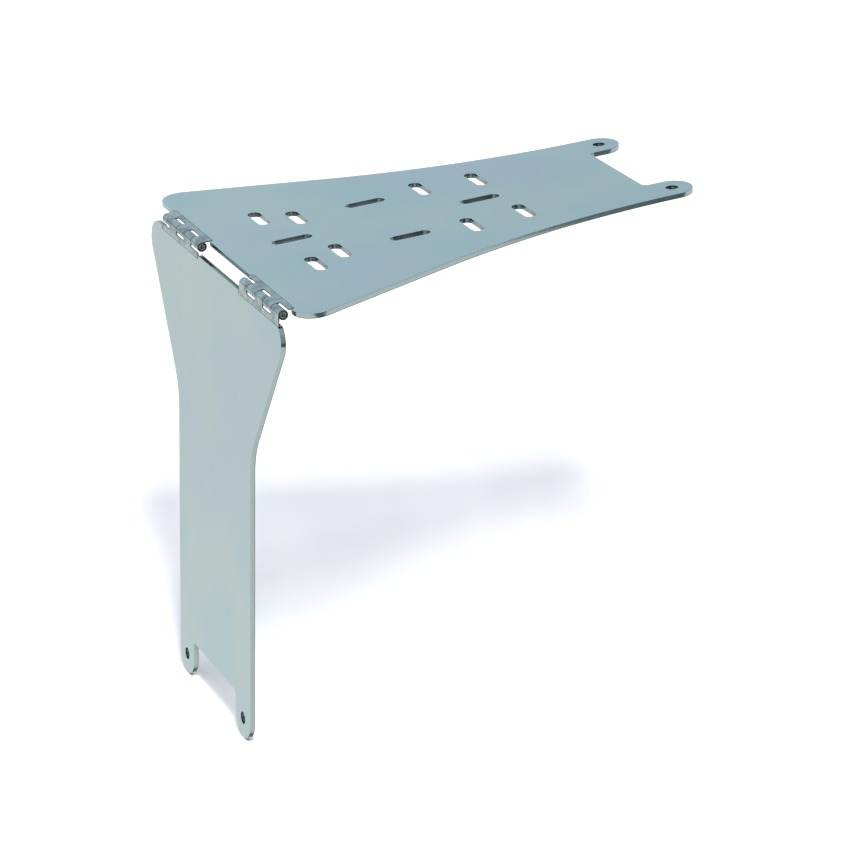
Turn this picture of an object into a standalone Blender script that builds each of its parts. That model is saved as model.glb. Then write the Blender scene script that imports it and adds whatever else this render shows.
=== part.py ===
"""Roof bracket: a slotted arm and a plain arm, both of zinc-plated plate, joined by two rolled hinges.

Each arm is drawn in its own plane, with x running from the hinge line to the fork, y across the arm
and z out of its outer face. The plain arm hangs straight down, and the slotted arm rises gently from
the hinge line. Each hinge has five knuckles, rolled from thin leaves that are welded flush to the arms.
"""

import math
from dataclasses import dataclass

import bmesh
import bpy
from mathutils import Matrix

MM = 0.001

# The space that neighbouring pieces keep, and how far a cutter runs past what it cuts
CLEARANCE = 0.3 * MM
OVERRUN = 2.0 * MM

# Both arms
PLATE = 5.0 * MM
EDGE_X = 7.5 * MM
CORNER_R = 20.0 * MM
NECK_HALF = 100.0 * MM
HOLE_X = 435.0 * MM
HOLE_Y = 80.0 * MM
HOLE_R = 6.0 * MM
NOTCH_X = 415.0 * MM
NOTCH_FILLET = 6.0 * MM
TIP_R = NECK_HALF - HOLE_Y
NOTCH_HALF = HOLE_Y - TIP_R

# How the arms stand: the plain arm is vertical, the slotted arm is lifted by this angle
SLOTTED_ARM_LIFT = math.radians(6.0)

# Slots of the slotted arm: centres along the arm and their distance from its centreline
SLOT_LENGTH = 40.0 * MM
SLOT_WIDTH = 12.0 * MM
CROSS_SLOTS = (
    (70.0 * MM, 75.0 * MM),
    (101.5 * MM, 55.5 * MM),
    (233.0 * MM, 62.5 * MM),
    (290.0 * MM, 56.0 * MM),
)
CENTRE_LONG_SLOTS = (75.0 * MM, 269.0 * MM)
SIDE_LONG_SLOT = (172.5 * MM, 56.0 * MM)

# Hinges
KNUCKLE_R = 4.8 * MM
SHEET = 1.2 * MM
PIN_R = KNUCKLE_R - SHEET - CLEARANCE
PIN_CHAMFER = 0.6 * MM
PIN_INSET = 0.3 * MM
KNUCKLES = 5
KNUCKLE_LENGTH = 20.0 * MM
KNUCKLE_GAP = 0.4 * MM
ROLL_SWEEP = math.radians(300.0)
HINGE_LENGTH = KNUCKLES * KNUCKLE_LENGTH + (KNUCKLES - 1) * KNUCKLE_GAP
HINGE_SPREAD = 107.2 * MM
HINGE_OFFSET = -13.5 * MM
SEAT_X = 11.0 * MM
SEAT_RELIEF = 1.2 * MM
RELIEF_X = 5.2 * MM
WELD_LEG = 2.4 * MM

# How many straight steps each round stretch is drawn with
SLOT_END_STEPS = 8
CORNER_STEPS = 8
NECK_STEPS = 12
TIP_STEPS = 16
NOTCH_STEPS = 5
HOLE_STEPS = 24
ROLL_STEPS = 30
WELD_STEPS = 6
PIN_STEPS = 28

# Edges sharper than this stay crisp when a piece is shaded smooth
CRISP_ANGLE = math.radians(30.0)

# Points closer than this are one point
MERGE_DISTANCE = 0.01 * MM

# The drawn size of the empties that carry the arms
EMPTY_SIZE = 50.0 * MM

# Outlines are filled at this many times their size, where the fill is exact, and then shrunk
DRAWING_SCALE = 1000.0

OUTER_KNUCKLES = (0, 2, 4)
INNER_KNUCKLES = (1, 3)


@dataclass(frozen=True)
class Finish:
    """The colour and roughness of one metal."""

    name: str
    colour: tuple
    roughness: float


@dataclass(frozen=True)
class ArmShape:
    """What differs between the two arms."""

    name: str
    root_half: float
    flank_angle: float
    neck_radius: float
    finish: Finish


SLOTTED_PLATE = Finish("plate", (0.38, 0.50, 0.54), 0.34)
PLAIN_PLATE = Finish("plate", (0.44, 0.53, 0.53), 0.34)
LEAF_SHEET = Finish("leaf_sheet", (0.46, 0.55, 0.56), 0.30)
WELD_METAL = Finish("weld_metal", (0.40, 0.45, 0.46), 0.50)
PIN_STEEL = Finish("steel", (0.55, 0.60, 0.62), 0.25)

SLOTTED = ArmShape("slotted_arm", 196.5 * MM, math.radians(20.0), 780.0 * MM, SLOTTED_PLATE)
PLAIN = ArmShape("plain_arm", 178.5 * MM, math.radians(32.0), 70.0 * MM, PLAIN_PLATE)


def clear_scene():
    """Removes every object that the file starts with."""
    for item in list(bpy.data.objects):
        bpy.data.objects.remove(item, do_unlink=True)


def new_collection(name):
    """Makes a collection and links it to the scene."""
    made = bpy.data.collections.new(name)
    bpy.context.scene.collection.children.link(made)
    return made


def metal(owner, finish):
    """A plain metallic material for one of the owner's pieces."""
    made = bpy.data.materials.new(f"{owner}_{finish.name}")
    made.use_nodes = True
    shader = made.node_tree.nodes["Principled BSDF"]
    shader.inputs["Base Color"].default_value = (*finish.colour, 1.0)
    shader.inputs["Metallic"].default_value = 1.0
    shader.inputs["Roughness"].default_value = finish.roughness
    return made


def arc(centre, radius, start, sweep, steps):
    """Points along an arc, with both ends."""
    return [
        (
            centre[0] + radius * math.cos(start + sweep * i / steps),
            centre[1] + radius * math.sin(start + sweep * i / steps),
        )
        for i in range(steps + 1)
    ]


def circle(centre, radius, steps):
    """Points round a full circle, without repeating the first."""
    return arc(centre, radius, 0.0, 2 * math.pi, steps)[:-1]


def slot(centre, across):
    """A slot with round ends, running along y when across is true and along x otherwise."""
    reach = (SLOT_LENGTH - SLOT_WIDTH) / 2
    turn = math.pi / 2 if across else 0.0
    step = (0.0, reach) if across else (reach, 0.0)
    front = (centre[0] + step[0], centre[1] + step[1])
    back = (centre[0] - step[0], centre[1] - step[1])
    front_end = arc(front, SLOT_WIDTH / 2, turn - math.pi / 2, math.pi, SLOT_END_STEPS)
    back_end = arc(back, SLOT_WIDTH / 2, turn + math.pi / 2, math.pi, SLOT_END_STEPS)
    return front_end + back_end


def hinge_seat(middle):
    """How far a hinge's seat reaches out from the arm's centreline, at its near and far ends."""
    reach = HINGE_LENGTH / 2 + SEAT_RELIEF
    return abs(middle) - reach, abs(middle) + reach


def half_outline(shape, seat):
    """One side of an arm's outline, from its hinge seat round to the fork's notch."""
    slant = shape.flank_angle
    seat_start, seat_end = seat
    corner = (EDGE_X + CORNER_R, shape.root_half - CORNER_R)
    points = [(EDGE_X, seat_start), (SEAT_X, seat_start)]
    turn = math.pi
    if seat_end < corner[1]:
        points += [(SEAT_X, seat_end), (EDGE_X, seat_end)]
    else:
        turn = math.acos((SEAT_X - corner[0]) / CORNER_R)
    points += arc(corner, CORNER_R, turn, math.pi / 2 - slant - turn, CORNER_STEPS)
    flank_start = points[-1]
    neck_top = NECK_HALF + shape.neck_radius * (1 - math.cos(slant))
    flank_end_x = flank_start[0] + (flank_start[1] - neck_top) / math.tan(slant)
    neck_centre = (flank_end_x + shape.neck_radius * math.sin(slant), NECK_HALF + shape.neck_radius)
    points += arc(neck_centre, shape.neck_radius, -math.pi / 2 - slant, slant, NECK_STEPS)
    points += arc((HOLE_X, HOLE_Y), TIP_R, math.pi / 2, -math.pi, TIP_STEPS)
    fillet = (NOTCH_X + NOTCH_FILLET, NOTCH_HALF - NOTCH_FILLET)
    points += arc(fillet, NOTCH_FILLET, math.pi / 2, math.pi / 2, NOTCH_STEPS)
    return points


def add_spline(curve, points):
    """Adds a closed outline to a curve."""
    spline = curve.splines.new("POLY")
    spline.points.add(len(points) - 1)
    for target, (x, y) in zip(spline.points, points):
        target.co = (x * DRAWING_SCALE, y * DRAWING_SCALE, 0.0, 1.0)
    spline.use_cyclic_u = True


def solid_from_outlines(name, outlines, thickness, placement, home):
    """Extrudes closed outlines to a solid mesh, with the later outlines as holes in the first."""
    curve = bpy.data.curves.new(name, "CURVE")
    curve.dimensions = "2D"
    curve.fill_mode = "BOTH"
    curve.extrude = DRAWING_SCALE * thickness / 2
    for points in outlines:
        add_spline(curve, points)
    drawn = bpy.data.objects.new(name + "_outline", curve)
    drawn.matrix_world = placement
    home.objects.link(drawn)
    bpy.context.view_layer.update()
    seen = drawn.evaluated_get(bpy.context.evaluated_depsgraph_get())
    mesh = bpy.data.meshes.new_from_object(seen)
    mesh.transform(Matrix.Scale(1 / DRAWING_SCALE, 4))
    shape = bmesh.new()
    shape.from_mesh(mesh)
    bmesh.ops.remove_doubles(shape, verts=shape.verts, dist=MERGE_DISTANCE)
    bmesh.ops.recalc_face_normals(shape, faces=shape.faces)
    shape.to_mesh(mesh)
    shape.free()
    mesh.name = name
    made = bpy.data.objects.new(name, mesh)
    made.matrix_world = drawn.matrix_world
    home.objects.link(made)
    bpy.data.objects.remove(drawn, do_unlink=True)
    return made


def box_cutter(name, low, high, placement, home):
    """A box between two corners, used only to cut."""
    bpy.ops.mesh.primitive_cube_add(size=1.0)
    made = bpy.context.active_object
    made.name = name
    size = [b - a for a, b in zip(low, high)]
    middle = [(a + b) / 2 for a, b in zip(low, high)]
    made.data.transform(Matrix.LocRotScale(middle, None, size))
    made.matrix_world = placement
    made.hide_render = True
    made.display_type = "WIRE"
    for owner in list(made.users_collection):
        owner.objects.unlink(made)
    home.objects.link(made)
    return made


def cut(target, cutter):
    """Takes the cutter's shape out of the target."""
    modifier = target.modifiers.new(cutter.name, "BOOLEAN")
    modifier.operation = "DIFFERENCE"
    modifier.solver = "EXACT"
    modifier.object = cutter


def dress(piece, material, parent):
    """Gives a piece its material, its shading and its parent."""
    piece.data.materials.clear()
    piece.data.materials.append(material)
    piece.data.shade_smooth()
    piece.data.set_sharp_from_angle(angle=CRISP_ANGLE)
    place = piece.matrix_world.copy()
    piece.parent = parent
    piece.matrix_parent_inverse = Matrix.Identity(4)
    piece.matrix_basis = parent.matrix_world.inverted() @ place


def knuckle_span(index):
    """Where a knuckle starts and ends, counted from the hinge's low end."""
    start = index * (KNUCKLE_LENGTH + KNUCKLE_GAP)
    return start, start + KNUCKLE_LENGTH


def roll_section():
    """The leaf's section: flat along the arm's outer face, then rolled down and round the pin."""
    top = math.pi / 2
    bore_r = KNUCKLE_R - SHEET
    points = [(SEAT_X - CLEARANCE, KNUCKLE_R)]
    points += arc((0.0, 0.0), KNUCKLE_R, top, ROLL_SWEEP, ROLL_STEPS)
    points += arc((0.0, 0.0), bore_r, top + ROLL_SWEEP, -ROLL_SWEEP, ROLL_STEPS)
    points.append((SEAT_X - CLEARANCE, bore_r))
    return points


def weld_section():
    """A fillet weld in the corner under the leaf, against the end of the plate."""
    corner_x = SEAT_X - CLEARANCE
    corner_z = KNUCKLE_R - SHEET - CLEARANCE
    bulge = arc((corner_x, corner_z), WELD_LEG, math.pi, math.pi / 2, WELD_STEPS)
    return [(corner_x, corner_z)] + bulge


def section_placement(frame, middle):
    """Stands a section drawn in x and z across the arm, centred on y = middle."""
    return frame @ Matrix.Translation((0.0, middle, 0.0)) @ Matrix.Rotation(math.pi / 2, 4, "X")


def make_arm(shape, frame, hinge_middles, slots, parts):
    """Makes one arm: a plate with a fork, holes and slots, cut back where the hinges sit."""
    upper_middle, lower_middle = sorted(hinge_middles, reverse=True)
    upper = half_outline(shape, hinge_seat(upper_middle))
    lower = [(x, -y) for x, y in reversed(half_outline(shape, hinge_seat(lower_middle)))]
    holes = [circle((HOLE_X, side * HOLE_Y), HOLE_R, HOLE_STEPS) for side in (1, -1)]
    face_shift = Matrix.Translation((0.0, 0.0, KNUCKLE_R - PLATE / 2))
    return solid_from_outlines(shape.name, [upper + lower] + holes + slots, PLATE, frame @ face_shift, parts)


def make_leaf(name, frame, middle, kept, parts, cutters):
    """Makes one leaf: a rolled strip with reliefs for the other arm's knuckles."""
    leaf = solid_from_outlines(name, [roll_section()], HINGE_LENGTH, section_placement(frame, middle), parts)
    reach = KNUCKLE_R + OVERRUN
    for index in range(KNUCKLES):
        if index in kept:
            continue
        start, end = knuckle_span(index)
        low_y = middle - HINGE_LENGTH / 2 + start - KNUCKLE_GAP
        high_y = middle - HINGE_LENGTH / 2 + end + KNUCKLE_GAP
        low = (-reach, low_y, -reach)
        high = (RELIEF_X, high_y, reach)
        cut(leaf, box_cutter(f"{name}_relief_{index}", low, high, frame, cutters))
    return leaf


def make_weld(name, frame, middle, parts):
    """Makes the fillet weld that joins one leaf to its arm."""
    return solid_from_outlines(name, [weld_section()], HINGE_LENGTH, section_placement(frame, middle), parts)


def make_pin(name, middle, parts):
    """Turns one hinge pin with chamfered ends."""
    half = HINGE_LENGTH / 2 - PIN_INSET
    profile = [
        (0.0, half),
        (PIN_R - PIN_CHAMFER, half),
        (PIN_R, half - PIN_CHAMFER),
        (PIN_R, -half + PIN_CHAMFER),
        (PIN_R - PIN_CHAMFER, -half),
        (0.0, -half),
    ]
    mesh = bpy.data.meshes.new(name)
    edges = [(i, i + 1) for i in range(len(profile) - 1)]
    mesh.from_pydata([(x, 0.0, z) for x, z in profile], edges, [])
    pin = bpy.data.objects.new(name, mesh)
    pin.matrix_world = section_placement(Matrix.Identity(4), middle)
    parts.objects.link(pin)
    screw = pin.modifiers.new("turned", "SCREW")
    screw.steps = PIN_STEPS
    screw.render_steps = PIN_STEPS
    screw.use_merge_vertices = True
    screw.merge_threshold = MERGE_DISTANCE
    return pin


def arm_slots():
    """The slotted arm's slots: pairs across it, and long ones along it."""
    found = []
    for x, y in CROSS_SLOTS:
        for side in (1, -1):
            found.append(slot((x, side * y), True))
    for x in CENTRE_LONG_SLOTS:
        found.append(slot((x, 0.0), False))
    for side in (1, -1):
        found.append(slot((SIDE_LONG_SLOT[0], side * SIDE_LONG_SLOT[1]), False))
    return found


def arm_empty(name, frame, home):
    """An empty on the hinge line that carries one arm's pieces."""
    made = bpy.data.objects.new(name, None)
    made.empty_display_size = EMPTY_SIZE
    home.objects.link(made)
    made.matrix_world = frame
    return made


def arm_frames():
    """Where the arms stand: the slotted one lifted from +X, the plain one with x down and z backwards."""
    slotted = Matrix.Rotation(-SLOTTED_ARM_LIFT, 4, "Y")
    plain = Matrix(((0, 0, -1, 0), (0, -1, 0, 0), (-1, 0, 0, 0), (0, 0, 0, 1)))
    return slotted, plain


def main():
    """Builds the two arms with their leaves and welds, and then the pins that join them."""
    clear_scene()
    parts = new_collection("roof_bracket")
    cutters = new_collection("cutters")
    slotted_frame, plain_frame = arm_frames()
    arms = (
        (SLOTTED, slotted_frame, 1, arm_slots(), OUTER_KNUCKLES, INNER_KNUCKLES),
        (PLAIN, plain_frame, -1, [], INNER_KNUCKLES, OUTER_KNUCKLES),
    )
    middles = {"left": HINGE_OFFSET + HINGE_SPREAD, "right": HINGE_OFFSET - HINGE_SPREAD}
    empties = {}
    for shape, frame, turn, slots, left_kept, right_kept in arms:
        empty = arm_empty(shape.name + "_frame", frame, parts)
        empties[shape.name] = empty
        bpy.context.view_layer.update()
        leaf_metal = metal(shape.name, LEAF_SHEET)
        weld_metal = metal(shape.name, WELD_METAL)
        local_middles = {side: turn * y for side, y in middles.items()}
        arm = make_arm(shape, frame, local_middles.values(), slots, parts)
        dress(arm, metal(shape.name, shape.finish), empty)
        for side, kept in (("left", left_kept), ("right", right_kept)):
            middle = local_middles[side]
            leaf = make_leaf(f"{shape.name}_leaf_{side}", frame, middle, kept, parts, cutters)
            dress(leaf, leaf_metal, empty)
            weld = make_weld(f"{shape.name}_weld_{side}", frame, middle, parts)
            dress(weld, weld_metal, empty)
    pin_metal = metal("hinge_pin", PIN_STEEL)
    for side, middle in middles.items():
        pin = make_pin(f"hinge_pin_{side}", middle, parts)
        dress(pin, pin_metal, empties[SLOTTED.name])


if __name__ == "__main__":
    main()
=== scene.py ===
"""Roof bracket: two zinc-plated plate arms that fold on two rolled hinges.

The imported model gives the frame. Every piece is made again here as a fine mesh: arms with broken edges,
leaves rolled from sheet, turned pins and rippled weld beads, each with its own metal finish. Each arm is
drawn in its own plane, with x running from the hinge line to the fork, y across the arm and z out of its
outer face.
"""

import logging
import math
from dataclasses import dataclass, field
from enum import Enum
from typing import Dict, List, Optional, Sequence, Tuple, Union

import bmesh
import bpy
from mathutils import Matrix, Vector


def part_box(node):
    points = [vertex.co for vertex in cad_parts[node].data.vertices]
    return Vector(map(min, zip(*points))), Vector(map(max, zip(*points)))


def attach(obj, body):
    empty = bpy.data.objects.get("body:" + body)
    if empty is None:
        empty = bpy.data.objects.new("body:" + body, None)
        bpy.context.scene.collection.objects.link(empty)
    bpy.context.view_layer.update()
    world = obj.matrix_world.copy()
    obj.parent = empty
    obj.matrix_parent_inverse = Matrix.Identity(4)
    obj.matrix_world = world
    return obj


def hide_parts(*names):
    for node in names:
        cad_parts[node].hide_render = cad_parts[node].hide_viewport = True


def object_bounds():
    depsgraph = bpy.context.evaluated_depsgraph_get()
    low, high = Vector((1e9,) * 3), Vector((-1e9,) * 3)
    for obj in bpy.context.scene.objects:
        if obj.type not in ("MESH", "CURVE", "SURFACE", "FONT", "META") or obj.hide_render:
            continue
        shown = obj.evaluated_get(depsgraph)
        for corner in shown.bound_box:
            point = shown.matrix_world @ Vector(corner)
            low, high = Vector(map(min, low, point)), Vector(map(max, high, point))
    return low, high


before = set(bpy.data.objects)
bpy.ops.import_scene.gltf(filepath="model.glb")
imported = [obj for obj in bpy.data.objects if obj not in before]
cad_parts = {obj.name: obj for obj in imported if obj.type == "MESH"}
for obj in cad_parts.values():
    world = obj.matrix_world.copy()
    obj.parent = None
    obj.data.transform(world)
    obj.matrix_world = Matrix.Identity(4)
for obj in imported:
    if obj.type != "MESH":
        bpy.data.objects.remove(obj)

LOG = logging.getLogger("roof_bracket")
CAD_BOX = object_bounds()
MM = 0.001
DRAWING_SCALE = 1000.0
MERGE_DISTANCE = 0.002 * MM
CRISP_FLAT = math.radians(50.0)
CRISP_TURNED = math.radians(40.0)
CRISP_BEAD = math.radians(60.0)

Point = Tuple[float, float]
Colour = Tuple[float, float, float]
Setting = Union[str, float, int, bool, Sequence[float]]


class Body(Enum):
    """The two bodies that the hinge line joins."""

    SLOTTED = "slotted_arm"
    PLAIN = "plain_arm"


class Side(Enum):
    """Which end of the hinge line a hinge sits at."""

    LEFT = "left"
    RIGHT = "right"


class Run(Enum):
    """Which way a slot runs on its arm."""

    ACROSS = "across"
    ALONG = "along"


# ---------------------------------------------------------------------------------------------------
# Shader maths
# ---------------------------------------------------------------------------------------------------


class Sock:
    """A node's output that can be used in arithmetic; each operation adds a Math node."""

    def __init__(self, graph: "Graph", socket: bpy.types.NodeSocket) -> None:
        """Wraps a socket.

        Args:
            graph: The graph that the socket belongs to.
            socket: The output socket.
        """
        self.graph = graph
        self.socket = socket

    def _math(self, operation: str, first: "Value", second: "Value") -> "Sock":
        """Adds one Math node.

        Args:
            operation: The Math node's operation.
            first: The first operand.
            second: The second operand.

        Returns:
            The node's output.
        """
        return self.graph.node("ShaderNodeMath", {"operation": operation}, {0: first, 1: second})

    def __add__(self, other: "Value") -> "Sock":
        """Adds a value."""
        return self._math("ADD", self, other)

    def __radd__(self, other: "Value") -> "Sock":
        """Is added to a value."""
        return self._math("ADD", other, self)

    def __sub__(self, other: "Value") -> "Sock":
        """Takes a value away."""
        return self._math("SUBTRACT", self, other)

    def __rsub__(self, other: "Value") -> "Sock":
        """Is taken away from a value."""
        return self._math("SUBTRACT", other, self)

    def __mul__(self, other: "Value") -> "Sock":
        """Multiplies by a value."""
        return self._math("MULTIPLY", self, other)

    def __rmul__(self, other: "Value") -> "Sock":
        """Is multiplied by a value."""
        return self._math("MULTIPLY", other, self)

    def __abs__(self) -> "Sock":
        """Drops the sign."""
        return self._math("ABSOLUTE", self, 0.0)


Value = Union[Sock, Setting]


class Graph:
    """A node tree that materials and the world are written in."""

    def __init__(self, tree: bpy.types.NodeTree) -> None:
        """Wraps a node tree and empties it."""
        self.tree = tree
        self.tree.nodes.clear()

    def node(
        self,
        kind: str,
        settings: Dict[str, object],
        inputs: Dict[Union[int, str], Value],
        output: Union[int, str] = 0,
    ) -> Sock:
        """Adds a node.

        Args:
            kind: The node's type.
            settings: Properties, which are set first; "stops" gives a ramp's positions and colours.
            inputs: Values or links, by socket name or number.
            output: Which output to hand back.

        Returns:
            The chosen output.
        """
        made = self.tree.nodes.new(kind)
        for key, value in settings.items():
            if key == "stops":
                self._set_stops(made.color_ramp, value)
            else:
                setattr(made, key, value)
        for key, value in inputs.items():
            if isinstance(value, Sock):
                self.tree.links.new(value.socket, made.inputs[key])
            else:
                made.inputs[key].default_value = value
        return Sock(self, made.outputs[output]) if made.outputs else Sock(self, None)

    @staticmethod
    def _set_stops(ramp: bpy.types.ColorRamp, stops: Sequence[Tuple[float, Colour]]) -> None:
        """Gives a ramp its stops.

        Args:
            ramp: The ramp, which starts with two stops.
            stops: Positions with their colours, in order.
        """
        while len(ramp.elements) < len(stops):
            ramp.elements.new(1.0)
        for element, (position, colour) in zip(ramp.elements, stops):
            element.position = position
            element.color = (*colour, 1.0)

    def place(self) -> Sock:
        """Position on the piece, in its own metres."""
        return self.node("ShaderNodeTexCoord", {}, {}, "Object")

    def facing(self) -> Sock:
        """The surface's direction, in the piece's own axes."""
        return self.node("ShaderNodeTexCoord", {}, {}, "Normal")

    def axis(self, vector: Sock, letter: str) -> Sock:
        """One component of a vector."""
        return self.node("ShaderNodeSeparateXYZ", {}, {0: vector}, letter)

    def stretched(self, vector: Sock, factors: Sequence[float], turn: float = 0.0) -> Sock:
        """Turns a position about z and stretches it.

        Args:
            vector: The position.
            factors: A factor for each axis, after the turn.
            turn: The turn about z, in radians.

        Returns:
            The new position.
        """
        turned = self.node(
            "ShaderNodeVectorRotate", {"rotation_type": "Z_AXIS"}, {"Vector": vector, "Angle": turn}
        )
        return self.node("ShaderNodeVectorMath", {"operation": "MULTIPLY"}, {0: turned, 1: factors})

    def noise(self, vector: Sock, scale: float, detail: float = 2.0, seed: float = 0.0) -> Sock:
        """Soft noise from 0 to 1.

        Args:
            vector: Where to read it.
            scale: Features per metre.
            detail: How many finer layers it has.
            seed: A different number gives a different pattern.

        Returns:
            The noise's value.
        """
        inputs = {"Vector": vector, "W": seed, "Scale": scale, "Detail": detail, "Roughness": 0.5}
        return self.node("ShaderNodeTexNoise", {"noise_dimensions": "4D"}, inputs)

    def ramp(self, value: Value, low: float, high: float, start: float = 0.0, end: float = 1.0) -> Sock:
        """Maps low..high smoothly to start..end and holds the ends.

        Args:
            value: What to map.
            low: Where the change starts.
            high: Where it ends.
            start: The result up to low.
            end: The result from high.

        Returns:
            The mapped value.
        """
        inputs = {"Value": value, "From Min": low, "From Max": high, "To Min": start, "To Max": end}
        return self.node("ShaderNodeMapRange", {"interpolation_type": "SMOOTHSTEP"}, inputs)

    def blend(self, share: Value, first: Value, second: Value) -> Sock:
        """Mixes two colours.

        Args:
            share: How much of the second there is.
            first: The first colour.
            second: The second colour.

        Returns:
            The mixed colour.
        """
        settings = {"data_type": "RGBA", "blend_type": "MIX"}
        return self.node("ShaderNodeMix", settings, {0: share, 6: opaque(first), 7: opaque(second)}, 2)

    def shelter(self, reach: float) -> Sock:
        """How much nearby metal closes a point in.

        Args:
            reach: How far to look, in metres.

        Returns:
            The closeness, from 0 in the open to 1.
        """
        return 1.0 - self.node("ShaderNodeAmbientOcclusion", {"samples": 8}, {"Distance": reach}, "AO")

    def bump(self, height: Sock, strength: float, depth: float) -> Sock:
        """Turns a height into a normal.

        Args:
            height: The height, from 0 to 1.
            strength: The share of the effect.
            depth: The depth of the relief, in metres.

        Returns:
            The normal.
        """
        return self.node("ShaderNodeBump", {}, {"Strength": strength, "Distance": depth, "Height": height})


def opaque(colour: Value) -> Value:
    """Adds full alpha to a plain colour, and leaves a socket as it is."""
    return colour if isinstance(colour, Sock) else (*colour, 1.0)


# ---------------------------------------------------------------------------------------------------
# Finishes
# ---------------------------------------------------------------------------------------------------


@dataclass(frozen=True)
class Finish:
    """What every metal here shares: how it becomes a material."""

    name: str

    def paint(self, graph: Graph) -> Dict[str, Value]:
        """Works out what feeds the shader; each finish has its own."""
        raise NotImplementedError

    def material(self) -> bpy.types.Material:
        """Makes the material.

        Returns:
            The new material.
        """
        made = bpy.data.materials.new(self.name)
        made.use_nodes = True
        graph = Graph(made.node_tree)
        inputs: Dict[Union[int, str], Value] = {"Metallic": 1.0}
        inputs.update(self.paint(graph))
        shader = graph.node("ShaderNodeBsdfPrincipled", {}, inputs)
        graph.node("ShaderNodeOutputMaterial", {}, {"Surface": shader})
        return made


@dataclass(frozen=True)
class ZincPlate(Finish):
    """Electroplated zinc on flat plate: satin, with clouded tone, rolling grain and cut edges."""

    cool: Colour = (0.445, 0.572, 0.606)
    warm: Colour = (0.500, 0.600, 0.592)
    lilac: Colour = (0.475, 0.560, 0.640)
    worn_light: Colour = (0.66, 0.72, 0.72)
    worn_dark: Colour = (0.30, 0.37, 0.39)
    cut_light: Colour = (0.455, 0.545, 0.545)
    cut_dark: Colour = (0.215, 0.265, 0.272)
    break_painted_shade: Colour = (0.110, 0.138, 0.142)
    slot_painted_shade: Colour = (0.036, 0.049, 0.052)
    painted_crevice_shade_reach: float = 16.0 * MM
    roughness: float = 0.36
    cloud_scale: float = 9.0
    grain_scale: float = 950.0
    plate_low: float = -0.2 * MM
    plate_high: float = 4.8 * MM
    seed: float = 0.0

    def paint(self, graph: Graph) -> Dict[str, Value]:
        """Works out colour, roughness and relief.

        Args:
            graph: The material's graph.

        Returns:
            The shader's inputs.
        """
        place = graph.place()
        clouds = graph.noise(place, self.cloud_scale, 3.0, self.seed)
        drift = graph.noise(place, self.cloud_scale * 0.7, 2.0, self.seed + 3.1)
        mottle = graph.noise(place, self.cloud_scale * 7, 4.0, self.seed + 5.7)
        speckle = graph.noise(place, 620.0, 2.0, self.seed)
        grain = graph.noise(graph.stretched(place, (18.0, self.grain_scale, self.grain_scale)), 1.0, 3.0)
        wall = graph.ramp(abs(graph.axis(graph.facing(), "Z")), 0.25, 0.9, 1.0, 0.0)
        scuffs = self.scuffs(graph, place)
        colour = graph.blend(graph.ramp(clouds, 0.35, 0.65), self.cool, self.warm)
        colour = graph.blend(0.75 * graph.ramp(drift, 0.48, 0.7), colour, self.lilac)
        shade = 0.16 * (mottle - 0.5) + 0.20 * (grain - 0.5) + 0.07 * (speckle - 0.5) + 0.10 * scuffs
        colour = graph.blend(graph.ramp(shade, 0.0, 0.12, 0.0, 0.35), colour, self.worn_light)
        colour = graph.blend(graph.ramp(shade, -0.12, 0.0, 0.30, 0.0), colour, self.worn_dark)
        colour = graph.blend(wall, colour, self.cut_colour(graph, place))
        rough = self.roughness + 0.10 * (mottle - 0.5) + 0.14 * (grain - 0.5) + 0.08 * scuffs
        rough = rough - 0.25 * wall
        striation = self.striation(graph, place)
        height = 0.5 * grain + 0.25 * speckle + 0.3 * scuffs + 0.9 * wall * striation
        return {"Base Color": colour, "Roughness": rough, "Normal": graph.bump(height, 0.35, 0.03 * MM)}

    def scuffs(self, graph: Graph, place: Sock) -> Sock:
        """Sparse hairline scuffs from handling, in three directions.

        Args:
            graph: The material's graph.
            place: Position on the piece.

        Returns:
            The scuffs, from 0 to 1.
        """
        total: Optional[Sock] = None
        for count, turn in enumerate((0.5, -0.9, 1.9)):
            fibres = graph.noise(graph.stretched(place, (14.0, 620.0, 14.0), turn), 1.0, 1.0, count + 9.0)
            patch = graph.noise(place, 13.0, 1.0, count + 20.0)
            layer = graph.ramp(fibres, 0.69, 0.76) * graph.ramp(patch, 0.52, 0.66)
            total = layer if total is None else total + layer
        return total

    def striation(self, graph: Graph, place: Sock) -> Sock:
        """Fine upright lines that the cut leaves on the plate's edge."""
        return graph.noise(graph.stretched(place, (1500.0, 1500.0, 70.0)), 1.0, 2.0, 2.0)

    def cut_colour(self, graph: Graph, place: Sock) -> Sock:
        """The cut edge: light and striped, with painted shade where nearby metal closes it in, as on slot
        walls, and a painted shade band along its lower break.

        Args:
            graph: The material's graph.
            place: Position on the piece.

        Returns:
            The edge's colour.
        """
        height = graph.axis(place, "Z")
        base = graph.blend(0.5 * self.striation(graph, place), self.cut_light, self.cut_dark)
        # Painted shade: walls closed in by nearby metal, as in the slots, are painted almost black.
        painted_crevice_shade = graph.ramp(graph.shelter(self.painted_crevice_shade_reach), 0.06, 0.28, 0.0, 0.95)
        base = graph.blend(painted_crevice_shade, base, self.slot_painted_shade)
        # Painted shade: a band along the lower break of the edge is painted darker.
        thickness = self.plate_high - self.plate_low
        start = self.plate_low + 0.08 * thickness
        lower = graph.ramp(height, start, start + 0.15 * thickness, 0.85, 0.0)
        return graph.blend(lower, base, self.break_painted_shade)


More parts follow.
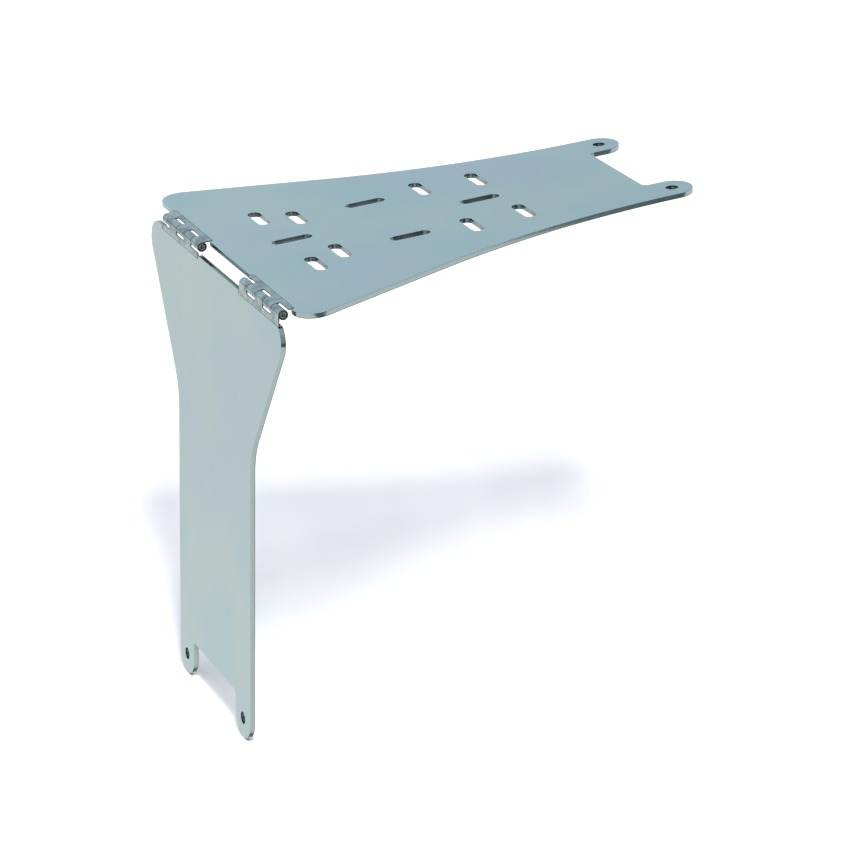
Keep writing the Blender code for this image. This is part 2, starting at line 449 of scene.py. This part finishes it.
@dataclass(frozen=True)
class RolledSheet(Finish):
    """Thin plated sheet with drawing lines round the roll and brighter rubbed spots."""

    light: Colour = (0.390, 0.470, 0.485)
    dark: Colour = (0.205, 0.260, 0.270)
    rubbed: Colour = (0.560, 0.620, 0.620)
    painted_shade_dark: Colour = (0.110, 0.135, 0.140)
    roughness: float = 0.22
    middle: float = 0.0
    pitch: float = 20.4 * MM
    tick: float = 1.1 * MM
    roll_x: float = 4.6 * MM
    painted_crevice_shade_reach: float = 4.0 * MM
    seed: float = 0.0

    def joints(self, graph: Graph, place: Sock) -> Sock:
        """Painted shade: dark bands on the roll where two knuckles meet.

        Args:
            graph: The material's graph.
            place: Position on the piece.

        Returns:
            The bands, from 0 to 1.
        """
        steps = (graph.axis(place, "Y") - self.middle) * (1.0 / self.pitch)
        phase = graph.node("ShaderNodeMath", {"operation": "FRACT"}, {0: steps + 100.0})
        reach = self.tick / self.pitch
        band = graph.ramp(abs(phase - 0.5), 0.4 * reach, reach, 1.0, 0.0)
        return band * graph.ramp(graph.axis(place, "X"), self.roll_x, self.roll_x + 0.8 * MM, 1.0, 0.0)

    def paint(self, graph: Graph) -> Dict[str, Value]:
        """Works out colour, roughness and relief.

        Args:
            graph: The material's graph.

        Returns:
            The shader's inputs.
        """
        place = graph.place()
        clouds = graph.noise(place, 90.0, 3.0, self.seed)
        lines = graph.noise(graph.stretched(place, (60.0, 1700.0, 60.0)), 1.0, 2.0, self.seed)
        rubs = graph.ramp(graph.noise(place, 210.0, 2.0, self.seed + 4.0), 0.58, 0.74)
        colour = graph.blend(graph.ramp(clouds, 0.35, 0.7), self.light, self.dark)
        colour = graph.blend(0.55 * rubs, colour, self.rubbed)
        colour = graph.blend(graph.ramp(lines, 0.55, 0.8, 0.0, 0.35), colour, self.dark)
        # Painted shade: the knuckles' end faces, which face along the pin, are painted nearly black.
        ends = graph.ramp(abs(graph.axis(graph.facing(), "Y")), 0.5, 0.9)
        colour = graph.blend(0.8 * ends, colour, self.painted_shade_dark)
        # Painted shade: dark bands where two knuckles meet.
        colour = graph.blend(0.85 * self.joints(graph, place), colour, self.painted_shade_dark)
        # Painted shade: where nearby metal closes the sheet in, it is painted darker.
        painted_crevice_shade = graph.ramp(graph.shelter(self.painted_crevice_shade_reach), 0.25, 0.7, 0.0, 0.8)
        colour = graph.blend(painted_crevice_shade, colour, self.painted_shade_dark)
        rough = self.roughness + 0.14 * (clouds - 0.5) + 0.16 * (lines - 0.5) - 0.06 * rubs
        height = 0.7 * lines + 0.3 * clouds
        return {"Base Color": colour, "Roughness": rough, "Normal": graph.bump(height, 0.4, 0.03 * MM)}


@dataclass(frozen=True)
class TurnedSteel(Finish):
    """Bright drawn pin stock with turning rings on its ends, random dark stains, and painted shade in the
    dish of each end.
    """

    bright: Colour = (0.400, 0.430, 0.440)
    stain_and_painted_shade: Colour = (0.090, 0.100, 0.105)
    roughness: float = 0.16

    def paint(self, graph: Graph) -> Dict[str, Value]:
        """Works out colour, roughness and relief.

        Args:
            graph: The material's graph.

        Returns:
            The shader's inputs.
        """
        place = graph.place()
        flat = {0: place, 1: (1.0, 1.0, 0.0)}
        across = graph.node("ShaderNodeVectorMath", {"operation": "MULTIPLY"}, flat)
        radius = graph.node("ShaderNodeVectorMath", {"operation": "LENGTH"}, {0: across}, "Value")
        rings = graph.node("ShaderNodeMath", {"operation": "SINE"}, {0: radius * 26000.0})
        stain = graph.noise(place, 420.0, 3.0)
        draw = graph.noise(graph.stretched(place, (1800.0, 1800.0, 25.0)), 1.0, 2.0)
        colour = graph.blend(graph.ramp(stain, 0.4, 0.72), self.bright, self.stain_and_painted_shade)
        # Painted shade: the dish at the centre of each pin end is painted dark.
        dish = graph.ramp(radius, 1.9 * MM, 2.3 * MM, 0.85, 0.0)
        colour = graph.blend(dish, colour, self.stain_and_painted_shade)
        rough = self.roughness + 0.16 * (stain - 0.5) + 0.10 * (draw - 0.5)
        height = 0.25 * rings + 0.5 * draw
        return {"Base Color": colour, "Roughness": rough, "Normal": graph.bump(height, 0.35, 0.02 * MM)}


@dataclass(frozen=True)
class WeldMetal(Finish):
    """A plated weld bead: matt, a little darker, with soot in its ripples and small spatter pits."""

    light: Colour = (0.470, 0.540, 0.550)
    soot: Colour = (0.150, 0.165, 0.170)
    roughness: float = 0.46

    def paint(self, graph: Graph) -> Dict[str, Value]:
        """Works out colour, roughness and relief.

        Args:
            graph: The material's graph.

        Returns:
            The shader's inputs.
        """
        place = graph.place()
        clouds = graph.noise(place, 160.0, 4.0)
        pits = graph.ramp(graph.noise(place, 1300.0, 2.0, 6.0), 0.60, 0.72)
        colour = graph.blend(graph.ramp(clouds, 0.42, 0.75, 0.0, 0.8), self.light, self.soot)
        colour = graph.blend(0.6 * pits, colour, self.soot)
        rough = self.roughness + 0.25 * (clouds - 0.5) + 0.15 * pits
        height = 0.6 * clouds - 0.5 * pits
        return {"Base Color": colour, "Roughness": rough, "Normal": graph.bump(height, 0.5, 0.08 * MM)}


@dataclass(frozen=True)
class StudioFloor(Finish):
    """A pale matt sweep with the faintest paper tooth."""

    colour: Colour = (0.93, 0.94, 0.95)
    hollow: Colour = (0.86, 0.87, 0.90)

    def paint(self, graph: Graph) -> Dict[str, Value]:
        """Works out colour and roughness; the floor isn't a metal.

        Args:
            graph: The material's graph.

        Returns:
            The shader's inputs.
        """
        tooth = graph.noise(graph.place(), 35.0, 2.0)
        colour = graph.blend(graph.ramp(tooth, 0.3, 0.7, 0.0, 0.04), self.colour, self.hollow)
        return {"Metallic": 0.0, "Base Color": colour, "Roughness": 0.9}


# ---------------------------------------------------------------------------------------------------
# Drawing and mesh helpers
# ---------------------------------------------------------------------------------------------------


def arc(centre: Point, radius: float, start: float, sweep: float, steps: int) -> List[Point]:
    """Points along an arc, with both ends.

    Args:
        centre: The arc's centre.
        radius: Its radius.
        start: The first point's direction, in radians.
        sweep: The signed angle that it covers.
        steps: How many straight steps it has.

    Returns:
        The points in order.
    """
    turns = [start + sweep * i / steps for i in range(steps + 1)]
    return [(centre[0] + radius * math.cos(a), centre[1] + radius * math.sin(a)) for a in turns]


def link(piece: bpy.types.Object) -> bpy.types.Object:
    """Puts an object in the scene."""
    bpy.context.scene.collection.objects.link(piece)
    return piece


def settle(piece: bpy.types.Object) -> None:
    """Applies a piece's modifiers to its mesh.

    Args:
        piece: The object, which keeps its name and place.
    """
    bpy.context.view_layer.update()
    seen = piece.evaluated_get(bpy.context.evaluated_depsgraph_get())
    mesh = bpy.data.meshes.new_from_object(seen)
    mesh.name = piece.name
    piece.modifiers.clear()
    piece.data = mesh


def soften(piece: bpy.types.Object, crisp: float) -> None:
    """Shades a piece smooth, keeps its flats flat and settles it.

    Args:
        piece: The object.
        crisp: Edges sharper than this stay crisp, in radians.
    """
    piece.data.shade_smooth()
    piece.data.set_sharp_from_angle(angle=crisp)
    weighted = piece.modifiers.new("flats", "WEIGHTED_NORMAL")
    weighted.mode = "FACE_AREA"
    weighted.keep_sharp = True
    settle(piece)


def dress(piece: bpy.types.Object, finish: Finish, body: Body, node: str) -> None:
    """Gives a piece its finish and its place in the frame.

    Args:
        piece: The object.
        finish: Its metal.
        body: The body that it moves with.
        node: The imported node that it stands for.
    """
    piece.data.materials.clear()
    piece.data.materials.append(finish.material())
    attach(piece, body.value)
    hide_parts(node)
    LOG.info("%s: %d faces on %s", piece.name, len(piece.data.polygons), body.value)


# ---------------------------------------------------------------------------------------------------
# The arms
# ---------------------------------------------------------------------------------------------------


@dataclass(frozen=True)
class Slot:
    """One slot with round ends."""

    x: float
    y: float
    run: Run
    width: float = 12.0 * MM
    length: float = 40.0 * MM
    end_steps: int = 20

    def outline(self) -> List[Point]:
        """Points round the slot."""
        reach = (self.length - self.width) / 2
        turn = math.pi / 2 if self.run is Run.ACROSS else 0.0
        step = (0.0, reach) if self.run is Run.ACROSS else (reach, 0.0)
        front = (self.x + step[0], self.y + step[1])
        back = (self.x - step[0], self.y - step[1])
        first = arc(front, self.width / 2, turn - math.pi / 2, math.pi, self.end_steps)
        return first + arc(back, self.width / 2, turn + math.pi / 2, math.pi, self.end_steps)


@dataclass(frozen=True)
class HingeSizes:
    """The sizes that leaves, pins, welds and seats share."""

    knuckle_r: float = 4.8 * MM
    sheet: float = 1.2 * MM
    pin_r: float = 3.3 * MM
    seat_x: float = 11.0 * MM
    seat_relief: float = 1.2 * MM
    relief_x: float = 5.2 * MM
    clearance: float = 0.3 * MM
    knuckles: int = 5
    knuckle_length: float = 20.0 * MM
    knuckle_gap: float = 0.4 * MM
    roll_sweep: float = math.radians(300.0)

    @property
    def length(self) -> float:
        """The whole hinge's length."""
        return self.knuckles * self.knuckle_length + (self.knuckles - 1) * self.knuckle_gap

    def middle(self, side: Side) -> float:
        """Where a hinge's middle is along the hinge line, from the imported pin."""
        low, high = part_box(f"hinge_pin_{side.value}")
        return (low.y + high.y) / 2

    def span(self, index: int) -> Tuple[float, float]:
        """Where a knuckle starts and ends, from the hinge's middle."""
        start = index * (self.knuckle_length + self.knuckle_gap) - self.length / 2
        return start, start + self.knuckle_length


@dataclass
class PlateArm:
    """One flat arm: a flared plate with a fork, holes, slots and seats for its hinges."""

    body: Body
    finish: Finish
    slot_name: str
    place: Matrix
    turn: int
    root_half: float
    flank_angle: float
    neck_radius: float
    hinge: HingeSizes
    slots: Sequence[Slot] = ()
    plate: float = 5.0 * MM
    edge_x: float = 7.5 * MM
    corner_r: float = 20.0 * MM
    neck_half: float = 100.0 * MM
    hole_x: float = 435.0 * MM
    hole_y: float = 80.0 * MM
    hole_r: float = 6.0 * MM
    notch_x: float = 415.0 * MM
    notch_fillet: float = 6.0 * MM
    edge_break: float = 0.35 * MM
    hole_steps: int = 56
    corner_steps: int = 28
    neck_steps: int = 44
    tip_steps: int = 40
    fillet_steps: int = 14

    def local_middle(self, side: Side) -> float:
        """A hinge's middle in the arm's own y."""
        return self.turn * self.hinge.middle(side)

    def half_outline(self, middle: float) -> List[Point]:
        """One side of the outline, from a hinge's seat round to the fork's notch.

        Args:
            middle: The distance of that side's hinge from the arm's centreline.

        Returns:
            The points, with y positive.
        """
        slant = self.flank_angle
        reach = self.hinge.length / 2 + self.hinge.seat_relief
        seat_x = self.hinge.seat_x
        corner = (self.edge_x + self.corner_r, self.root_half - self.corner_r)
        points = [(self.edge_x, middle - reach), (seat_x, middle - reach)]
        start = math.pi
        if middle + reach < corner[1]:
            points += [(seat_x, middle + reach), (self.edge_x, middle + reach)]
        else:
            start = math.acos((seat_x - corner[0]) / self.corner_r)
        points += arc(corner, self.corner_r, start, math.pi / 2 - slant - start, self.corner_steps)
        flank_x, flank_y = points[-1]
        neck_y = self.neck_half + self.neck_radius * (1 - math.cos(slant))
        neck_x = flank_x + (flank_y - neck_y) / math.tan(slant) + self.neck_radius * math.sin(slant)
        neck = (neck_x, self.neck_half + self.neck_radius)
        points += arc(neck, self.neck_radius, -math.pi / 2 - slant, slant, self.neck_steps)
        tip_r = self.neck_half - self.hole_y
        points += arc((self.hole_x, self.hole_y), tip_r, math.pi / 2, -math.pi, self.tip_steps)
        fillet = (self.notch_x + self.notch_fillet, self.hole_y - tip_r - self.notch_fillet)
        points += arc(fillet, self.notch_fillet, math.pi / 2, math.pi / 2, self.fillet_steps)
        return points

    def outlines(self) -> List[List[Point]]:
        """The plate's outline, then its holes and slots."""
        middles = [self.local_middle(side) for side in Side]
        upper = self.half_outline(max(middles))
        lower = [(x, -y) for x, y in reversed(self.half_outline(-min(middles)))]
        full = 2 * math.pi
        holes = [
            arc((self.hole_x, way * self.hole_y), self.hole_r, 0.0, full, self.hole_steps)[:-1]
            for way in (1, -1)
        ]
        return [upper + lower] + holes + [slot.outline() for slot in self.slots]

    def build(self) -> bpy.types.Object:
        """Makes the plate with broken edges.

        Returns:
            The finished arm.
        """
        name = f"{self.body.value}_plate"
        curve = bpy.data.curves.new(name, "CURVE")
        curve.dimensions = "2D"
        curve.fill_mode = "BOTH"
        curve.bevel_depth = self.edge_break * DRAWING_SCALE
        curve.offset = -self.edge_break * DRAWING_SCALE
        curve.bevel_resolution = 2
        curve.extrude = (self.plate / 2 - self.edge_break) * DRAWING_SCALE
        for points in self.outlines():
            spline = curve.splines.new("POLY")
            spline.points.add(len(points) - 1)
            for target, (x, y) in zip(spline.points, points):
                target.co = (x * DRAWING_SCALE, y * DRAWING_SCALE, 0.0, 1.0)
            spline.use_cyclic_u = True
        drawn = link(bpy.data.objects.new(name + "_drawing", curve))
        bpy.context.view_layer.update()
        seen = drawn.evaluated_get(bpy.context.evaluated_depsgraph_get())
        mesh = bpy.data.meshes.new_from_object(seen)
        bpy.data.objects.remove(drawn, do_unlink=True)
        lift = Matrix.Translation((0.0, 0.0, self.hinge.knuckle_r - self.plate / 2))
        mesh.transform(lift @ Matrix.Scale(1 / DRAWING_SCALE, 4))
        solid = bmesh.new()
        solid.from_mesh(mesh)
        bmesh.ops.remove_doubles(solid, verts=solid.verts, dist=MERGE_DISTANCE)
        bmesh.ops.recalc_face_normals(solid, faces=solid.faces)
        solid.to_mesh(mesh)
        solid.free()
        piece = link(bpy.data.objects.new(name, mesh))
        soften(piece, CRISP_FLAT)
        piece.matrix_world = self.place
        dress(piece, self.finish, self.body, self.body.value)
        return piece


# ---------------------------------------------------------------------------------------------------
# The hinges
# ---------------------------------------------------------------------------------------------------


@dataclass
class HingeLeaf:
    """One leaf: thin sheet, flat on the arm's outer side, with its kept knuckles rolled round the pin."""

    arm: PlateArm
    side: Side
    kept: Sequence[int]
    finish: Finish
    edge_break: float = 0.16 * MM
    roll_steps: int = 60
    flat_steps: int = 4

    def line(self) -> List[Point]:
        """The sheet's middle line: the flat from the plate to the pin, then the roll, in x and z."""
        sizes = self.arm.hinge
        mid_r = sizes.knuckle_r - sizes.sheet / 2
        far = sizes.seat_x - sizes.clearance
        flat = [(far, mid_r)]
        flat += [(sizes.relief_x * (1 - i / self.flat_steps), mid_r) for i in range(self.flat_steps)]
        return flat + arc((0.0, 0.0), mid_r, math.pi / 2, sizes.roll_sweep, self.roll_steps)

    def build(self) -> bpy.types.Object:
        """Rolls the leaf and gives it its thickness.

        Returns:
            The finished leaf.
        """
        sizes = self.arm.hinge
        node = f"{self.arm.body.value}_leaf_{self.side.value}"
        middle = self.arm.local_middle(self.side)
        cuts = [edge for index in range(sizes.knuckles) for edge in sizes.span(index)]
        line = self.line()
        surface = bmesh.new()
        grid = [[surface.verts.new((x, middle + y, z)) for y in cuts] for x, z in line]
        for row in range(len(line) - 1):
            for column in range(len(cuts) - 1):
                knuckle = column // 2 if column % 2 == 0 else None
                if row == 0 or knuckle in self.kept:
                    near, far = grid[row], grid[row + 1]
                    surface.faces.new((near[column], near[column + 1], far[column + 1], far[column]))
        loose = [vert for vert in surface.verts if not vert.link_faces]
        bmesh.ops.delete(surface, geom=loose, context="VERTS")
        mesh = bpy.data.meshes.new(node)
        surface.to_mesh(mesh)
        surface.free()
        piece = link(bpy.data.objects.new(f"{node}_sheet", mesh))
        skin = piece.modifiers.new("sheet", "SOLIDIFY")
        skin.thickness = sizes.sheet
        skin.offset = 0.0
        skin.use_even_offset = True
        rounding = piece.modifiers.new("edges", "BEVEL")
        rounding.width = self.edge_break
        rounding.segments = 2
        rounding.limit_method = "ANGLE"
        rounding.angle_limit = math.radians(55.0)
        settle(piece)
        soften(piece, CRISP_FLAT)
        piece.matrix_world = self.arm.place
        dress(piece, self.finish, self.arm.body, node)
        return piece


@dataclass
class HingePin:
    """One turned pin with broken rims and dished ends."""

    side: Side
    hinge: HingeSizes
    finish: Finish
    inset: float = 0.3 * MM
    rim: float = 0.7 * MM
    dish_r: float = 2.1 * MM
    dish_depth: float = 1.1 * MM
    lip: float = 0.1 * MM
    rim_steps: int = 8
    steps: int = 64

    def end_profile(self, half: float) -> List[Point]:
        """One end, from the centre of its dish out to its side.

        Args:
            half: Half of the pin's length.

        Returns:
            Radius and height of each point.
        """
        dish = [
            (self.dish_r * t, half - self.dish_depth * math.cos(t * math.pi / 2) ** 0.8)
            for t in (0.0, 0.25, 0.5, 0.7, 0.85, 0.95)
        ]
        rim_centre = (self.hinge.pin_r - self.rim, half - self.rim)
        rim = arc(rim_centre, self.rim, math.pi / 2, -math.pi / 2, self.rim_steps)
        return dish + [(self.dish_r + self.lip, half)] + rim

    def build(self) -> bpy.types.Object:
        """Turns the pin.

        Returns:
            The finished pin.
        """
        node = f"hinge_pin_{self.side.value}"
        end = self.end_profile(self.hinge.length / 2 - self.inset)
        profile = end + [(r, -z) for r, z in reversed(end)]
        mesh = bpy.data.meshes.new(node)
        edges = [(i, i + 1) for i in range(len(profile) - 1)]
        mesh.from_pydata([(r, 0.0, z) for r, z in profile], edges, [])
        piece = link(bpy.data.objects.new(f"{node}_turned", mesh))
        lathe = piece.modifiers.new("lathe", "SCREW")
        lathe.steps = self.steps
        lathe.render_steps = self.steps
        lathe.use_merge_vertices = True
        lathe.merge_threshold = MERGE_DISTANCE
        settle(piece)
        soften(piece, CRISP_TURNED)
        stand = Matrix.Translation((0.0, self.hinge.middle(self.side), 0.0))
        piece.matrix_world = stand @ Matrix.Rotation(math.pi / 2, 4, "X")
        dress(piece, self.finish, Body.SLOTTED, node)
        return piece


@dataclass
class WeldBead:
    """One fillet weld under a leaf, laid in overlapping ripples."""

    arm: PlateArm
    side: Side
    finish: Finish
    leg: float = 2.4 * MM
    ripple_pitch: float = 1.9 * MM
    ripple_depth: float = 0.16
    ring_step: float = 0.32 * MM
    arc_steps: int = 10

    def radius(self, along: float, share: float) -> float:
        """The bead's radius.

        Args:
            along: Distance along the bead from its start.
            share: Where on the arc, from 0 at the leaf's side to 1.

        Returns:
            The radius there.
        """
        length = self.arm.hinge.length
        bow = 1.4 * (share - 0.5) ** 2
        phase = (along / self.ripple_pitch + bow) % 1.0
        ripple = 1.0 - self.ripple_depth * phase**1.6
        wander = 1.0 - 0.05 * (1 + math.sin(along * 420.0)) / 2
        from_end = min(along, length - along) / (1.6 * self.leg)
        return self.leg * ripple * wander * min(1.0, 0.35 + from_end) ** 0.7

    def build(self) -> bpy.types.Object:
        """Lays the bead.

        Returns:
            The finished weld.
        """
        sizes = self.arm.hinge
        node = f"{self.arm.body.value}_weld_{self.side.value}"
        start = self.arm.local_middle(self.side) - sizes.length / 2
        corner = (sizes.seat_x - sizes.clearance, sizes.knuckle_r - sizes.sheet - sizes.clearance)
        count = round(sizes.length / self.ring_step)
        bead = bmesh.new()
        rings = []
        for index in range(count + 1):
            along = sizes.length * index / count
            ring = [bead.verts.new((corner[0], start + along, corner[1]))]
            for step in range(self.arc_steps + 1):
                share = step / self.arc_steps
                turn = math.pi * (1 + share / 2)
                reach = self.radius(along, share)
                x = corner[0] + reach * math.cos(turn)
                z = corner[1] + reach * math.sin(turn)
                ring.append(bead.verts.new((x, start + along, z)))
            rings.append(ring)
        for first, second in zip(rings, rings[1:]):
            for a in range(len(first)):
                b = (a + 1) % len(first)
                bead.faces.new((first[a], first[b], second[b], second[a]))
        bead.faces.new(rings[0])
        bead.faces.new(rings[-1])
        bmesh.ops.recalc_face_normals(bead, faces=bead.faces)
        mesh = bpy.data.meshes.new(node)
        bead.to_mesh(mesh)
        bead.free()
        piece = link(bpy.data.objects.new(f"{node}_bead", mesh))
        soften(piece, CRISP_BEAD)
        piece.matrix_world = self.arm.place
        dress(piece, self.finish, self.arm.body, node)
        return piece


# ---------------------------------------------------------------------------------------------------
# The whole bracket, the studio and the camera
# ---------------------------------------------------------------------------------------------------


@dataclass
class RoofBracket:
    """Both arms and everything that joins them."""

    lift: float = math.radians(6.0)
    cross_slots: Sequence[Point] = (
        (70.0 * MM, 75.0 * MM),
        (101.5 * MM, 55.5 * MM),
        (233.0 * MM, 62.5 * MM),
        (290.0 * MM, 56.0 * MM),
    )
    long_slots: Sequence[Point] = (
        (75.0 * MM, 0.0),
        (269.0 * MM, 0.0),
        (172.5 * MM, 56.0 * MM),
        (172.5 * MM, -56.0 * MM),
    )
    hinge: HingeSizes = field(default_factory=HingeSizes)

    def slots(self) -> List[Slot]:
        """The slotted arm's slots: pairs across it, and long ones along it."""
        pairs = [(x, way * y) for x, y in self.cross_slots for way in (1, -1)]
        across = [Slot(x, y, Run.ACROSS) for x, y in pairs]
        return across + [Slot(x, y, Run.ALONG) for x, y in self.long_slots]

    def arms(self) -> Tuple[PlateArm, PlateArm]:
        """Sets out the slotted arm, lifted from +X, and the plain arm, which hangs with its x down."""
        slotted = PlateArm(
            body=Body.SLOTTED,
            finish=ZincPlate("slotted_zinc", seed=1.3),
            slot_name="slotted_plate",
            place=Matrix.Rotation(-self.lift, 4, "Y"),
            turn=1,
            root_half=196.5 * MM,
            flank_angle=math.radians(20.0),
            neck_radius=780.0 * MM,
            hinge=self.hinge,
            slots=self.slots(),
        )
        plain = PlateArm(
            body=Body.PLAIN,
            finish=ZincPlate("plain_zinc", seed=7.9),
            slot_name="plain_plate",
            place=Matrix(((0, 0, -1, 0), (0, -1, 0, 0), (-1, 0, 0, 0), (0, 0, 0, 1))),
            turn=-1,
            root_half=178.5 * MM,
            flank_angle=math.radians(32.0),
            neck_radius=70.0 * MM,
            hinge=self.hinge,
        )
        return slotted, plain

    def kept_knuckles(self, arm: PlateArm, side: Side) -> Sequence[int]:
        """Which knuckles a leaf keeps: three on the slotted arm's left and the plain arm's right."""
        outer = (arm.body is Body.SLOTTED) == (side is Side.LEFT)
        return (0, 2, 4) if outer else (1, 3)

    def build(self) -> None:
        """Makes every piece in order."""
        for arm in self.arms():
            arm.build()
            for count, side in enumerate(Side):
                kept = self.kept_knuckles(arm, side)
                name = f"{arm.body.value}_{side.value}_sheet"
                sheet = RolledSheet(name, middle=arm.local_middle(side), seed=2.0 * count + arm.turn)
                HingeLeaf(arm, side, kept, sheet).build()
                WeldBead(arm, side, WeldMetal(f"{arm.body.value}_{side.value}_weld")).build()
        for side in Side:
            HingePin(side, self.hinge, TurnedSteel(f"pin_{side.value}_steel")).build()


@dataclass
class Studio:
    """A pale floor, a white card that the metal reflects, a soft surround and one soft lamp overhead."""

    floor_half: float = 12.0
    floor_gap: float = 0.5 * MM
    card_side: float = 5.0
    card_front: float = -1.26
    card_fade: float = 0.1
    card_dim: float = 0.08
    card_colour: Colour = (0.97, 0.985, 0.96)
    lamp_place: Sequence[float] = (-0.46, -1.79, 2.1)
    lamp_strength: float = 9.0
    lamp_width: float = 0.35
    lamp_length: float = 0.80
    above: Colour = (0.63, 0.785, 0.86)
    level: Colour = (0.80, 0.93, 1.0)
    under: Colour = (0.07, 0.08, 0.085)
    fill: Colour = (0.87, 0.88, 0.94)
    near_side: Sequence[float] = (-0.15, -0.95, 0.1)
    near_share: float = 0.55
    far_side: Colour = (0.30, 0.34, 0.36)
    far_share: float = 0.75
    lamp_colour: Colour = (1.0, 0.99, 0.97)
    lamp_aim: Sequence[float] = (0.2, 0.0, 0.0)

    def plane(self, name: str, low: Point, high: Point, height: float) -> bpy.types.Object:
        """Makes a level rectangle that belongs to the studio.

        Args:
            name: Its name.
            low: Its lowest x and y.
            high: Its highest x and y.
            height: How high it lies.

        Returns:
            The new object.
        """
        mesh = bpy.data.meshes.new(name)
        corners = [(low[0], low[1]), (high[0], low[1]), (high[0], high[1]), (low[0], high[1])]
        mesh.from_pydata([(x, y, height) for x, y in corners], [], [(0, 1, 2, 3)])
        made = link(bpy.data.objects.new(name, mesh))
        return made

    def floor(self) -> None:
        """Lays the floor just under the bracket."""
        half = self.floor_half
        made = self.plane("studio_floor", (-half, -half), (half, half), CAD_BOX[0][2] - self.floor_gap)
        made.data.materials.append(StudioFloor("pale_floor").material())
        made.visible_glossy = False

    def card(self) -> None:
        """Lays the white card under and behind the bracket; only its reflection is seen."""
        side = self.card_side
        front = self.card_front - self.card_fade
        made = self.plane("studio_card", (-side, front), (side, side), CAD_BOX[0][2] - 2 * self.floor_gap)
        material = bpy.data.materials.new("white_card")
        material.use_nodes = True
        graph = Graph(material.node_tree)
        along = graph.axis(graph.place(), "Y")
        strength = graph.ramp(along, front, self.card_front, self.card_dim, 1.0)
        inputs = {"Color": opaque(self.card_colour), "Strength": strength}
        glow = graph.node("ShaderNodeEmission", {}, inputs)
        graph.node("ShaderNodeOutputMaterial", {}, {"Surface": glow})
        made.data.materials.append(material)
        made.visible_camera = False
        made.visible_diffuse = False
        made.visible_shadow = False

    def surround(self) -> None:
        """Makes the surround: plain white where it is seen, and graded where metal reflects it."""
        world = bpy.data.worlds.new("soft_surround")
        bpy.context.scene.world = world
        world.use_nodes = True
        graph = Graph(world.node_tree)
        direction = graph.node("ShaderNodeTexCoord", {}, {}, "Generated")
        height = graph.axis(direction, "Z")
        stops = [(0.0, self.under), (0.47, self.under), (0.53, self.level), (1.0, self.above)]
        graded = graph.node("ShaderNodeValToRGB", {"stops": stops}, {0: 0.5 * height + 0.5})
        toward = Vector(self.near_side).normalized()
        settings = {"operation": "DOT_PRODUCT"}
        facing = graph.node("ShaderNodeVectorMath", settings, {0: direction, 1: toward}, "Value")
        graded = graph.blend(graph.ramp(facing, 0.55, 0.95, 0.0, self.near_share), graded, self.under)
        aside = graph.ramp(graph.axis(direction, "X"), -0.1, 1.0, 0.0, self.far_share)
        graded = graph.blend(aside, graded, self.far_side)
        glossy = graph.node("ShaderNodeLightPath", {}, {}, "Is Glossy Ray")
        seen = graph.node("ShaderNodeLightPath", {}, {}, "Is Camera Ray")
        colour = graph.blend(glossy, self.fill, graded)
        colour = graph.blend(seen, colour, (1.0, 1.0, 1.0))
        background = graph.node("ShaderNodeBackground", {}, {"Color": colour, "Strength": 1.0})
        graph.node("ShaderNodeOutputWorld", {}, {"Surface": background})

    def lamp(self) -> None:
        """Hangs the soft lamp; its light is as strong far off as near, and no reflection of it shows."""
        data = bpy.data.lights.new("soft_lamp", "AREA")
        data.energy = 1.0
        data.shape = "RECTANGLE"
        data.size = self.lamp_width
        data.size_y = self.lamp_length
        data.use_nodes = True
        graph = Graph(data.node_tree)
        even = graph.node("ShaderNodeLightFalloff", {}, {"Strength": self.lamp_strength}, "Constant")
        glow = graph.node("ShaderNodeEmission", {}, {"Color": opaque(self.lamp_colour), "Strength": even})
        graph.node("ShaderNodeOutputLight", {}, {"Surface": glow})
        made = link(bpy.data.objects.new("soft_lamp", data))
        place = Vector(self.lamp_place)
        turn = (Vector(self.lamp_aim) - place).to_track_quat("-Z", "Y").to_matrix().to_4x4()
        made.matrix_world = Matrix.Translation(place) @ turn
        made.visible_glossy = False
        made.visible_camera = False

    def build(self) -> None:
        """Sets up the whole studio."""
        self.floor()
        self.card()
        self.surround()
        self.lamp()
        bpy.context.scene.view_settings.view_transform = "Standard"
        LOG.info("studio ready")


@dataclass
class ViewCamera:
    """The camera: a long lens from the front left and above."""

    aim: Sequence[float] = (0.2145, 0.0004, -0.1923)
    distance: float = 3.314
    bearing: float = math.radians(23.54)
    pitch: float = math.radians(20.444)
    roll: float = math.radians(1.11)
    lens: float = 143.58
    sensor: float = 36.0

    def build(self) -> bpy.types.Object:
        """Places the camera and makes it the scene's.

        Returns:
            The camera.
        """
        flat = Vector((math.sin(self.bearing), math.cos(self.bearing), 0.0))
        forward = flat * math.cos(self.pitch) - Vector((0.0, 0.0, math.sin(self.pitch)))
        level_right = forward.cross(Vector((0.0, 0.0, 1.0))).normalized()
        level_up = level_right.cross(forward)
        right = level_right * math.cos(self.roll) + level_up * math.sin(self.roll)
        up = right.cross(forward)
        data = bpy.data.cameras.new("view_camera")
        data.lens = self.lens
        data.sensor_width = self.sensor
        made = link(bpy.data.objects.new("view_camera", data))
        turn = Matrix((right, up, -forward)).transposed().to_4x4()
        made.matrix_world = Matrix.Translation(Vector(self.aim) - forward * self.distance) @ turn
        bpy.context.scene.camera = made
        return made


def write_sizes() -> None:
    LOG.info("sizes written")


def main() -> None:
    """Builds the camera, the bracket and the studio."""
    logging.basicConfig(level=logging.INFO, format="%(message)s")
    ViewCamera().build()
    RoofBracket().build()
    Studio().build()
    write_sizes()


if __name__ == "__main__":
    main()
